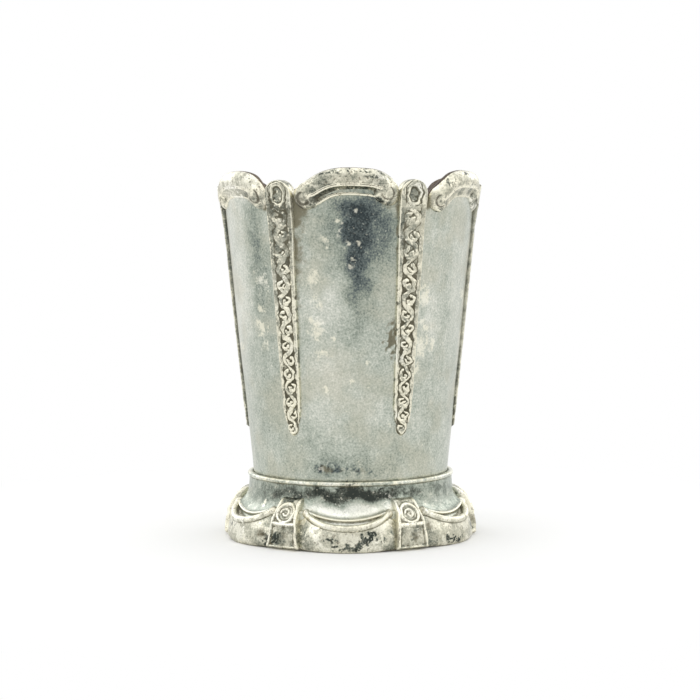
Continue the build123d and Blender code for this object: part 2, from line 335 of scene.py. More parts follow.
def offsets(points, azimuth, height, ragged=0):
    """How far points lie from a place on the outside, across and up, with a ragged margin."""
    across = np.radians(wrapped(from_front(points) - azimuth, 360)) * radius_of(points)
    up = points[..., 2] - height
    if ragged:
        across = across + uneven(points, 2.3, ragged, 20) + uneven(points, 0.9, 0.5 * ragged, 5)
        up = up + uneven(points, 2.9, ragged, 40)
    return across, up


def unrolled(points, ragged):
    """Place of points on the unrolled outside, across and up, and the length of one turn."""
    across, up = offsets(points, 0, 0, ragged)
    return across, up, 2 * pi * np.maximum(radius_of(points), 0.01)


def patch_of(across_front, up, turn, azimuth, height, half_width, half_height):
    """Soft patch on the unrolled outside, 1 in its middle."""
    across = wrapped(across_front - azimuth / 360 * turn, turn)
    return np.exp(-((across / half_width) ** 2 + ((up - height) / half_height) ** 2))


def mount_dirt_and_shade(points):
    """Dirt and painted shade beside the mounts."""
    where = unrolled(points, 0.35)
    return sum(amount * patch_of(*where, *place) for *place, amount in MOUNT_DIRT_AND_SHADE)


def painted(points, tone):
    """Tone with the stains, painted reflections and dark flecks added."""
    tone = tone + np.zeros(points.shape[:-1])
    where = unrolled(points, 1.5)
    for *place, change in STAINS_AND_REFLECTIONS:
        tone = tone + change * patch_of(*where, *place)
    flaked = np.max([patch_of(*where, *place) for place in FLECKS], axis=0)
    near = flaked > 0.1
    ragged = uneven(points[near], 0.85, 0.9, 60) + uneven(points[near], 0.3, 0.7, 70)
    ragged = ragged + 0.55 * flaked[near]
    tone[near] -= 0.75 * smooth(0.26, 0.5, ragged) * smooth(0.12, 0.45, flaked[near])
    return np.clip(tone, 0.02, 1)


def worn(points, wear_and_highlight):
    """Wear and painted highlight layer, with the small worn spots added."""
    for azimuth, height, size in SPOTS:
        across, up = offsets(points, azimuth, height)
        near = (np.abs(across) < 3 * size) & (np.abs(up) < 3 * size)
        across, up = offsets(points[near], azimuth, height, 0.85)
        wear_and_highlight[near] = np.maximum(wear_and_highlight[near], 0.74 * np.exp(-((across**2 + up**2) / size**2)))
    return wear_and_highlight


def grid_faces(rows, columns, closed_rows=False):
    """Quads of a grid whose columns close into loops."""
    row_count = rows if closed_rows else rows - 1
    r = np.arange(row_count)[:, None]
    c = np.arange(columns)[None, :]
    after_r, after_c = (r + 1) % rows, (c + 1) % columns
    corners = (r * columns + c, r * columns + after_c, after_r * columns + after_c, after_r * columns + c)
    return np.stack(np.broadcast_arrays(*corners), axis=-1).reshape(-1, 4)


def with_ends(values):
    """Grid rows with one more at each end, drawn to the middle, so that the ends close."""
    ends = (values[:1], values[-1:])
    first, last = (np.broadcast_to(end.mean(axis=1, keepdims=True), end.shape) for end in ends)
    return np.concatenate((first, values, last))


def new_object(name, data):
    """New object in the scene."""
    thing = bpy.data.objects.new(name, data)
    bpy.context.scene.collection.objects.link(thing)
    return thing


def add_piece(node, materials, points, tone, grime_and_shade, wear_and_highlight, closed_rows=False, inside=None):
    """Mesh piece that stands for a CAD node, from a grid of points and its paint layers.

    Its tone gets the stains and painted reflections. Rows that don't close get ends, and faces inside take
    the second material.
    """
    # The grime layer also carries painted shade, and the wear layer painted highlights
    layers = {"tone": painted(points, tone), "grime_and_shade": grime_and_shade, "wear_and_highlight": wear_and_highlight}
    if not closed_rows:
        points = with_ends(points)
        layers = {layer: with_ends(values) for layer, values in layers.items()}
        inside = None if inside is None else with_ends(inside) > 0.5
    rows, columns = points.shape[:2]
    faces = grid_faces(rows, columns, closed_rows)
    mesh = bpy.data.meshes.new(node + "_dressed")
    mesh.from_pydata((points.reshape(-1, 3) * MM).tolist(), [], faces.tolist())
    for layer, values in layers.items():
        attribute = mesh.attributes.new(layer, "FLOAT", "POINT")
        attribute.data.foreach_set("value", np.ascontiguousarray(values, np.float32).ravel())
    for material in materials:
        mesh.materials.append(material)
    if inside is not None:
        chosen = inside.ravel()[faces].all(axis=1)
        mesh.polygons.foreach_set("material_index", chosen.astype(np.int32))
    mesh.polygons.foreach_set("use_smooth", np.ones(len(faces), bool))
    mesh.update()
    piece = new_object(node + "_dressed", mesh)
    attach(piece, "root")
    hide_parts(node)


class Value:
    """Output of a shader node. Sums and products with it make math nodes."""

    def __init__(self, tree, socket):
        self.tree = tree
        self.socket = socket

    def __add__(self, other):
        return math_node(self.tree, "ADD", self, other)

    def __sub__(self, other):
        return math_node(self.tree, "SUBTRACT", self, other)

    def __mul__(self, other):
        return math_node(self.tree, "MULTIPLY", self, other)


def feed(value, socket):
    """Link a node's output to a socket, or set it to a plain value."""
    if isinstance(value, Value):
        value.tree.links.new(value.socket, socket)
    else:
        socket.default_value = value


def shader_node(tree, kind, inputs=None, output=0, **settings):
    """Output of a new shader node, from its inputs and settings."""
    shader = tree.nodes.new("ShaderNode" + kind)
    for key, value in settings.items():
        setattr(shader, key, value)
    for key, value in (inputs or {}).items():
        feed(value, shader.inputs[key])
    return Value(tree, shader.outputs[output])


def math_node(tree, operation, first, second, clamp=False):
    """Result of a math node on two values."""
    return shader_node(tree, "Math", {0: first, 1: second}, operation=operation, use_clamp=clamp)


def noise_at(place, scale, detail=3, roughness=0.55):
    """Noise texture, 0 to 1, with a scale in features per metre."""
    inputs = {"Vector": place, "Scale": scale, "Detail": detail, "Roughness": roughness}
    return shader_node(place.tree, "TexNoise", inputs)


def between(value, low, high):
    """Smooth mask that rises from 0 at low to 1 at high."""
    inputs = {"Value": value, "From Min": low, "From Max": high}
    return shader_node(value.tree, "MapRange", inputs, interpolation_type="SMOOTHSTEP")


def mixed(share, first, second):
    """Colour between two colours."""
    return shader_node(share.tree, "Mix", {0: share, 6: first, 7: second}, 2, data_type="RGBA")


def bumpy(height, strength, distance):
    """Normal of a surface with a fine relief."""
    inputs = {"Strength": strength, "Distance": distance, "Height": height}
    return shader_node(height.tree, "Bump", inputs)


def layer_value(tree, name):
    """One of the paint layers that the pieces carry."""
    return shader_node(tree, "Attribute", output="Fac", attribute_name=name)


def new_material(name):
    """New material, with its surface shader and the place on the object."""
    material = bpy.data.materials.new(name)
    material.use_nodes = True
    tree = material.node_tree
    return material, tree.nodes["Principled BSDF"], shader_node(tree, "TexCoord", output="Object")


# Colours of the plate, in linear light: from black tarnish to bare metal, at these tones
TONE_STOPS = (0, 0.2, 0.42, 0.62, 0.82, 1)
COLD_TONES = (
    (0.040, 0.052, 0.055), (0.122, 0.148, 0.145), (0.288, 0.325, 0.274),
    (0.470, 0.505, 0.436), (0.655, 0.670, 0.596), (0.840, 0.845, 0.770),
)
WARM_TONES = (
    (0.040, 0.047, 0.040), (0.118, 0.130, 0.108), (0.320, 0.325, 0.262),
    (0.505, 0.498, 0.405), (0.690, 0.674, 0.556), (0.865, 0.850, 0.735),
)
DULL_TONES = WARM_TONES[:2] + COLD_TONES[2:]
BARE_METAL = (0.930, 0.915, 0.810, 1)
CREAM_METAL = (0.915, 0.880, 0.715, 1)
WORN_PINK = (0.500, 0.475, 0.355, 1)
# Grime colours, also used for the shade painted in coves, creases, grooves and under the rolls
GRIME_AND_SHADE = (0.070, 0.062, 0.038, 1)
PALE_GRIME_AND_SHADE = (0.160, 0.142, 0.082, 1)
OLIVE_GRIME_AND_SHADE = (0.125, 0.110, 0.062, 1)
STRAP_GRIME_AND_SHADE = (0.100, 0.090, 0.052, 1)
FRECKLE_BROWN = (0.170, 0.145, 0.105, 1)
PIT_BLACK = (0.022, 0.024, 0.021, 1)
INSIDE_DARK = (0.060, 0.043, 0.032, 1)
INSIDE_BROWN = (0.200, 0.158, 0.112, 1)
INSIDE_GRAIN = (0.300, 0.270, 0.215, 1)
# Noise drawn out along the axis for streaks
STREAK_STRETCH = (1, 1, 0.12)


def dress(surface, colour, rough, metallic, normal):
    """Give a surface shader its inputs."""
    inputs = {"Base Color": colour, "Roughness": rough, "Metallic": metallic, "Normal": normal}
    for key, value in inputs.items():
        feed(value, surface.inputs[key])


def tone_ramp(tone, colours):
    """Plate colour for a tone between 0 and 1."""
    colour = shader_node(tone.tree, "ValToRGB", {"Fac": tone})
    stops = colour.socket.node.color_ramp.elements
    while len(stops) < len(colours):
        stops.new(0.5)
    for stop, position, shade in zip(stops, TONE_STOPS, colours):
        stop.position = position
        stop.color = (*shade, 1)
    return colour


def silver(name, colours, dirt_and_shade_colour, grainy, filmy, streaks, pits, freckles, edges_and_creases, warmth, bared):
    """Tarnished silver plate: tone, grime with painted shade and wear with painted highlights from the
    paint layers, broken up by noise, with pits.

    The amounts say how uneven the tone is by grain, film and streaks, how much pits and freckles show, how
    much rubbed edges with painted highlight and creases with painted shade show, how warm the plate is and
    how much bare metal shows where it is worn.
    """
    material, surface, place = new_material(name)
    tree = place.tree
    cloud = noise_at(place, 230)
    patch = noise_at(place, 900, 4, 0.65)
    grain = noise_at(place, 3600, 2)
    speck = noise_at(place, 2100, 2, 0.6)
    crust = noise_at(place, 1300, 5, 0.7)
    tint = noise_at(place, 160, 2)
    drawn_out = shader_node(tree, "VectorMath", {0: place, 1: STREAK_STRETCH}, operation="MULTIPLY")
    streak = noise_at(drawn_out, 1500, 3)

    tone = layer_value(tree, "tone")
    film = between(noise_at(place, 520, 5, 0.62), 0.44, 0.56)
    textures = (cloud, patch, grain, streak, film)
    amounts = (0.3, 0.25 + 0.9 * filmy, 0.6 * grainy, 0.45 * streaks, filmy)
    for texture, amount in zip(textures, amounts):
        tone = tone + (texture - 0.5) * amount
    colour = tone_ramp(tone, colours)
    warm = between(tint, 0.42, 0.68) * between(tone, 0.3, 0.62)
    colour = mixed(warm * warmth, colour, WORN_PINK)

    bright_speck = between(speck, 0.66, 0.73)
    wear_and_highlight = layer_value(tree, "wear_and_highlight")
    bend = shader_node(tree, "NewGeometry", output="Pointiness")
    # Curvature: edges get wear and a painted highlight, creases get dirt and painted shade
    wear_and_highlight = wear_and_highlight + between(bend, 0.508, 0.54) * edges_and_creases
    wear_and_highlight = between(wear_and_highlight + (patch - 0.5) * 2.2, 0.3, 0.8)
    wear_and_highlight = math_node(tree, "MAXIMUM", wear_and_highlight, bright_speck * 0.55)
    creamy = between(tint, 0.45 - 0.25 * warmth, 0.6 - 0.25 * warmth)
    bare = mixed(creamy, BARE_METAL, CREAM_METAL)
    colour = mixed(wear_and_highlight * bared, colour, bare)

    fine = noise_at(place, 2900, 4, 0.7)
    freckle = between(fine, 0.53, 0.62) * between(patch, 0.46, 0.56)
    colour = mixed(freckle * freckles, colour, FRECKLE_BROWN)

    grime_and_shade = layer_value(tree, "grime_and_shade")
    uneven_dirt = (crust - 0.5) * 1.2
    grime_and_shade = grime_and_shade + between(bend, 0.494, 0.466) * edges_and_creases
    dirt_and_shade = between(grime_and_shade + uneven_dirt, 0.3, 0.95)
    colour = mixed(dirt_and_shade * 0.88, colour, dirt_and_shade_colour)

    pit = between(crust, 0.74 - pits, 0.8 - pits) * between(cloud, 0.45, 0.6)
    colour = mixed(pit * 0.9, colour, PIT_BLACK)

    rough = patch * 0.22 + 0.24
    rough = math_node(tree, "ADD", rough, dirt_and_shade * 0.3, clamp=True)
    metallic = math_node(tree, "SUBTRACT", 0.95, dirt_and_shade * 0.65, clamp=True)
    dress(surface, colour, rough, metallic, bumpy(grain * 0.5 - pit, 0.4, 0.00012))
    return material


def dark_inside(name):
    """Brown-black tarnish inside the cup, never cleaned."""
    material, surface, place = new_material(name)
    cloud = noise_at(place, 180, 5, 0.6)
    grain = noise_at(place, 2600, 3)
    colour = mixed(between(cloud, 0.35, 0.7), INSIDE_DARK, INSIDE_BROWN)
    colour = mixed(between(grain, 0.62, 0.74), colour, INSIDE_GRAIN)
    dress(surface, colour, cloud * 0.3 + 0.38, 0.75, bumpy(grain, 0.3, 0.0001))
    return material


# Colours, the colour of dirt and painted shade, and the amounts: grainy, filmy, streaks, pits, freckles,
# edges (wear and painted highlight on edges, painted shade in creases), warmth, bared
PLATES = {
    "spun_plate_tarnished": (COLD_TONES, PALE_GRIME_AND_SHADE, (1.1, 0.03, 0.3, 0.03, 0.14, 0, 0.34, 0.66)),
    "rim_plate_worn": (WARM_TONES, GRIME_AND_SHADE, (1.1, 0.36, 0, 0.08, 0.8, 0.8, 0.4, 1)),
    "strap_plate_worn": (WARM_TONES, STRAP_GRIME_AND_SHADE, (0.9, 0.2, 0, 0.02, 0.25, 0.75, 0.5, 0.92)),
    "strap_plate_calm": (WARM_TONES, STRAP_GRIME_AND_SHADE, (0.8, 0.12, 0, 0, 0.2, 0.4, 0.5, 0.85)),
    "foot_plate_pitted": (WARM_TONES, OLIVE_GRIME_AND_SHADE, (1.2, 0.34, 0, 0.09, 0.7, 0.6, 0.35, 1)),
    "foot_plate_dull": (DULL_TONES, OLIVE_GRIME_AND_SHADE, (0.9, 0.16, 0, 0.05, 0.3, 0.5, 0.2, 0.85)),
}
cup_silver, rim_silver, strap_silver, side_silver, foot_silver, hollow_silver = (
    silver(name, colours, dirt_and_shade_colour, *amounts) for name, (colours, dirt_and_shade_colour, amounts) in PLATES.items()
)
inside_brown = dark_inside("spun_plate_inside")


def from_lobe(azimuth):
    """Angle from the middle of the nearest lobe."""
    return wrapped(azimuth - FRONT, PITCH)


def strap_half(z):
    """Half the width of a strap at height z, without its round ends."""
    half = np.interp(z, (strap_toe_z, strap_head_z), (strap_toe_half, strap_head_half))
    return half * (toe_share + (1 - toe_share) * smooth(strap_toe_z, strap_toe_z + toe_taper, z))


def all_round(columns):
    """Azimuths of a closed grid. Its seam lies under a strap."""
    return FRONT + PITCH / 2 + np.linspace(0, 360, columns, endpoint=False)[:, None]


def lobed(top, azimuth):
    """Height of the lobed edge that reaches up to a top."""
    share = from_lobe(azimuth) / lobe_half_angle
    return top - lobe_drop * (1 - np.clip(1 - share**2, 0, 1))


def make_cup():
    """Spun shell with a lobed edge."""
    azimuth = all_round(cup_columns)
    edge = lobed(rim_height - edge_drop, azimuth)
    wall_rows = np.linspace(0, 1, wall_count)[None, :]
    outer_z = seat_height + wall_rows * (edge - seat_height)
    inner_z = edge + np.linspace(0, 1, inner_count)[None, :] * (seat_height + cup_floor - edge)
    outer = on_round(azimuth, cup_radius(outer_z), outer_z)
    dents = uneven(outer, 9, 0.1, 3.1)
    across, up = offsets(outer, solder_place[0] - paint_turn, solder_place[1], 0.5)
    solder = np.exp(-((across / solder_half[0]) ** 2 + (up / solder_half[1]) ** 2))
    crumbs = uneven(outer, 0.75, 1, 15) + uneven(outer, 0.35, 0.7, 31)
    dents = dents + solder_lump * solder * (0.7 + 0.8 * crumbs)
    outer = on_round(azimuth, cup_radius(outer_z) + dents * smooth(0, 0.1, wall_rows), outer_z)
    inner = on_round(azimuth, cup_radius(inner_z) - cup_wall, inner_z)
    floor_share = np.linspace(1, 0, floor_count)[None, 1:]
    floor_z = seat_height + cup_floor
    floor_in = on_round(azimuth, (cup_radius(floor_z) - cup_wall) * floor_share, floor_z)
    floor_out = on_round(azimuth, base_radius * floor_share[:, ::-1], seat_height)
    points = np.concatenate((outer, inner, floor_in, floor_out), axis=1)
    z = points[..., 2]
    to_strap = np.radians(PITCH / 2 - np.abs(from_lobe(azimuth))) * radius_of(points) - strap_half(z)
    near_strap = np.exp(-np.clip(to_strap, 0, None) / 0.55) * smooth(strap_toe_z - 1, strap_toe_z + 2, z)
    near_foot = np.exp(-np.clip(z - collar_top, 0, None) / 0.45)
    near_rim = np.exp(-np.clip(lobed(rim_height - ridge_drop, azimuth) - z, 0, None) / 0.5)
    high = smooth(40, 52, z)
    blotchy = smooth(-0.35, 0.35, uneven(points, 1.7, 1, 31))
    # Dirt with painted shade beside the straps, a dark joint line with a painted shadow above the collar,
    # and a painted shade band under the rim rolls
    grime_and_shade = 0.85 * near_strap * (0.35 + 0.65 * high) * blotchy + 0.6 * near_foot + 0.45 * near_rim
    dirt_and_shade = mount_dirt_and_shade(outer)
    low_dirt = np.clip(1.3 * dirt_and_shade, 0, 1) * smooth(16, 13, outer[..., 2])
    grime_and_shade[:, :wall_count] += solder * (0.85 - 1.6 * crumbs) + dirt_and_shade - 0.32 * low_dirt
    grime_and_shade = np.clip(grime_and_shade, 0, 1)
    wear_and_highlight = worn(points, np.zeros(z.shape))
    wear_and_highlight[:, :wall_count] += 0.7 * solder * smooth(0.1, 0.6, crumbs)
    wear_and_highlight[:, :wall_count] += 0.45 * low_dirt * smooth(0, 0.5, -crumbs)
    tone = np.full(z.shape, cup_tone)
    tone[:, :wall_count] -= 0.46 * low_dirt * smooth(0, 0.35, crumbs)
    inside = np.zeros(z.shape, bool)
    inside[:, wall_count : -floor_out.shape[1]] = True
    materials = (cup_silver, inside_brown)
    add_piece("cup", materials, points, tone, grime_and_shade, wear_and_highlight, True, inside)


def section(out, up):
    """Points of a section, from how far they lie outwards and upwards."""
    return np.stack(np.broadcast_arrays(out, up), axis=1)


def with_back(values, columns, value):
    """Paint layer of a face, with one plain value on the columns of its back."""
    return np.pad(values, ((0, 0), (0, columns)), constant_values=value)


def roll_profile():
    """Closed sections of a rim roll with its cove and without, and the paint along them, with painted
    shading and highlights.
    """
    wall_out = cup_wall / 2
    lip_angle = -np.arcsin(lip_drop / roll_radius)
    inner_angle = pi - np.arccos(wall_out / roll_radius)
    turn = np.linspace(inner_angle, lip_angle, bulge_count)
    bulge = section(roll_radius * np.cos(turn), roll_radius * np.sin(turn))
    lip = bulge[-1] + np.array((0.06, -0.05))
    ridge_top = -ridge_drop + ridge_radius
    share = np.linspace(0, 1, cove_count)
    cove_out = lip[0] + (wall_out + 0.1 - lip[0]) * share
    cove_up = lip[1] - 0.12 + (ridge_top - lip[1] + 0.12) * share
    cove = section(cove_out - cove_depth * np.sin(pi * share), cove_up)
    sweep = np.linspace(pi / 2, -pi / 2, ridge_count)
    ridge_out = wall_out + 0.05 + ridge_radius * np.cos(sweep)
    ridge_line = section(ridge_out, -ridge_drop + ridge_radius * np.sin(sweep))
    back = np.array(((wall_out - 0.2, -ridge_drop - ridge_radius), (0, -0.6), (-wall_out - 0.02, -0.4)))
    profile = np.concatenate((bulge, lip[None], cove, ridge_line, back))
    # Along the section: wear and a painted highlight on the top, the lip and the fine ridge, painted shade
    # in the cove, and tone lighter on top and darker below as painted shading, also on the plain section
    rounding = 0.22 + 0.34 * np.sin(np.clip(turn, 0, pi))
    rounding[-2:] = 1
    wear_and_highlight = np.concatenate((rounding, [1.2], np.zeros(cove_count), ridge(sweep, 1.3), np.zeros(back_count)))
    grime_and_shade = np.zeros(len(profile))
    grime_and_shade[bulge_count + 1 :][:cove_count] = 0.3 * np.sin(pi * share) + 0.12
    grime_and_shade[-back_count:] = 1
    shade = 0.6 + 0.24 * np.sin(turn)
    shade[-2:] = 0.95
    lower_highlight_and_shade = np.repeat((1, 0.44, 0.75, 0.3), (1, cove_count, ridge_count, back_count))
    tone = np.concatenate((shade, lower_highlight_and_shade))
    plain_turn = np.linspace(radians(105), radians(-95), len(profile) - back_count)
    plain = section(0.3 + 1.25 * np.cos(plain_turn), -0.45 + 2 * np.sin(plain_turn))
    plain_shaded_tone = np.concatenate((0.66 + 0.16 * np.sin(plain_turn), np.full(back_count, 0.3)))
    return profile, np.concatenate((plain, back)), wear_and_highlight, grime_and_shade, tone, plain_shaded_tone


def make_rolls():
    """Six rim rolls: an arched bead with a lip, a cove and a fine ridge below, and curled ends."""
    profile, plain, wear_and_highlight, grime_and_shade, tone, plain_shaded_tone = roll_profile()
    mid_radius = cup_radius(valley_height) - cup_wall / 2
    end_angle = degrees(roll_half / mid_radius)
    cap = degrees(roll_radius / mid_radius)
    rounded = cap * (1 - np.cos(np.linspace(0.12, pi / 2, cap_count)))
    middle = np.linspace(-end_angle + cap, end_angle - cap, arch_count)[1:-1]
    angle = np.concatenate((-end_angle + rounded, middle, end_angle - rounded[::-1]))
    inside_cap = np.clip((np.abs(angle) - (end_angle - cap)) / cap, 0, 1)
    size = np.sqrt(np.clip(1 - inside_cap**2, 0, 1))[:, None]
    share = angle / (end_angle - cap)
    swell = smooth(0.78, 0.98, np.abs(share))[:, None]
    pivot = np.array((0.1, -0.5))

    def sectioned(cove):
        """Section along a roll, outwards and upwards, with some of its cove left."""
        smoothed = 1 - cove * (1 - swell[..., None])
        outline = profile[None] * (1 - smoothed) + plain[None] * smoothed
        return (pivot[i] + (outline[..., i] - pivot[i]) * size for i in (0, 1))

    def arched(out, up, left, right, left_lift, right_lift):
        """Points of a roll with its own shoulders and bent ends."""
        fall = np.abs(share) ** np.where(share < 0, left, right)
        lift = np.where(share < 0, left_lift, right_lift) * smooth(0.35, 1, np.abs(share))
        mid_z = valley_height + lobe_drop * (1 - fall) + lift
        slope = np.arctan(np.gradient(mid_z, np.radians(angle) * mid_radius))[:, None]
        radius = (cup_radius(mid_z) - cup_wall / 2)[:, None] + out + up * cup_slope
        azimuth = angle[:, None] + np.degrees(-up * np.sin(slope) / radius)
        return on_round(azimuth, radius, mid_z[:, None] + up * np.cos(slope))

    outside = np.arange(len(grime_and_shade)) < len(grime_and_shade) - back_count
    from_end = np.radians(end_angle - np.abs(angle))[:, None] * mid_radius
    facing_in = np.zeros((len(angle), len(grime_and_shade)), bool)
    facing_in[:, :inward_count] = True
    facing_in[:, -back_count:] = True
    bent = smooth(0.3, 1, -share)[:, None]
    near_end = outside * smooth(curl_inset + 0.6, curl_inset, from_end)
    materials = (rim_silver, inside_brown)
    for i in range(LOBES):
        out, up = sectioned(cove_left[i])
        plainness = 1 - cove_left[i] * (1 - swell)
        curl_out = np.hypot(from_end - curl_inset, 0.8 * (up + 0.6))
        curl = ridge(curl_out - curl_radius, 0.17) * near_end
        dirt_and_shade = grime_and_shade * (1 - plainness) + 0.25 * plainness * ~outside + 0.4 * inside_cap[:, None] ** 4
        dirt_and_shade = np.maximum(dirt_and_shade, 0.85 * curl)
        rubbed_and_highlight = wear_and_highlight * (1 - plainness) + 0.45 * plainness
        shade = tone * (1 - plainness) + plain_shaded_tone * plainness
        points = turned(arched(out, up, *shoulders[i]), lobe_azimuth(i))
        if i == bent_roll:
            points = turned(points, bend_turn * bent)
            points[..., 2] -= bend_drop * bent
        points = dented(points, 2.2, 0.1, 7)
        dirt_and_shade = dirt_and_shade + 0.8 * mount_dirt_and_shade(points)
        add_piece(f"rim_roll_{i + 1}", materials, points, shade, dirt_and_shade, rubbed_and_highlight, inside=facing_in)


def half_chord(radius, off):
    """Half the width of a circle at a distance from its middle."""
    return np.sqrt(np.clip(radius**2 - off**2, 0, None))


def strap_edge(x, z):
    """Distance of a point on a strap from its outline."""
    sides = strap_half(z) - np.abs(x)
    head = strap_head_half - np.hypot(x, z - strap_head_z)
    narrow = strap_half(strap_foot_z) / strap_toe_half
    toe = strap_toe_half * narrow - np.hypot(x, (z - strap_foot_z) * narrow)
    return np.where(z > strap_head_z, head, np.where(z < strap_foot_z, toe, sides))


def rail_at(z):
    """Width of a strap's rails at height z. They run out towards the toe."""
    left = 0.3 + 0.7 * smooth(strap_toe_z + 1, strap_toe_z + 4.5, z)
    return (rail_width + rail_growth * (z - strap_toe_z)) * left


def scroll_cells():
    """Cells of a strap's scroll, from the head down: middle, half height and the side it bends to."""
    cells = []
    top, side = strap_head_z - scroll_start, 1
    while True:
        height = float(np.interp(top, (strap_toe_z, strap_top_z), scroll_pitches))
        if top - height < strap_toe_z + 0.1:
            return cells
        cells.append((top - height / 2, height / 2, side))
        top, side = top - height, -side


def vine(x, z, middle, half, side):
    """Raised vine of one cell: a stem that swings to one side and a curl on the other."""
    room = strap_half(middle) - rail_at(middle)
    x, half = x / room, half / room
    up = (z - middle) / room
    swing = 1 - stem_half
    phase = 0.5 * pi * up / half
    lean = 0.5 * pi / half * swing * np.sin(phase)
    stem = ridge((x - side * swing * np.cos(phase)) / np.hypot(1, lean), stem_half)
    across = side * x + 1 - curl_middle - curl_half
    curl = ridge(np.hypot(across, up) - curl_middle, curl_half)
    opening = np.arctan2(up, across)
    curl = curl * (1 - smooth(0, 0.3, opening) * smooth(1.3, 1, opening))
    foot_across, foot_up = across + 0.05, up + 0.62 * half
    past_foot = foot_across - np.clip(foot_across, 0, 0.55)
    link = ridge(np.hypot(past_foot, foot_up + 0.25 * foot_across), 0.22)
    return np.maximum.reduce((stem, curl, link)) ** 0.5


def strap_relief(x, z):
    """Height of a strap's face as a share of its grooves' depth, and the dimple in its head."""
    rail = rail_at(z)
    rails = ridge(strap_edge(x, z) - 0.5 * rail, 0.62 * rail) ** 0.5
    rails = rails * smooth(strap_toe_z + 0.5, strap_toe_z + 3.5, z)
    field = np.full(x.shape, 0.62)
    for middle, half, side in scroll_cells():
        inside = np.abs(z - middle) <= half
        field[inside] = vine(x[inside], z[inside], middle, half, side)
    reach = np.hypot(x / oval_half_width, (z - oval_z) / (oval_half_width * np.where(z > oval_z, 1.3, 1.6)))
    oval = ridge((reach - 1) * oval_half_width, oval_line)
    dimple = smooth(1, 0.8, reach)
    groove = 0.45 * ridge((reach - 1.42) * oval_half_width, 0.14) * (z > oval_z - 1.4)
    raised = np.maximum(rails, field) - groove
    raised = np.where(reach < 1, np.maximum(oval, 0.25), np.maximum(raised, oval))
    return np.clip(raised, 0, 1), dimple * (1 - oval)


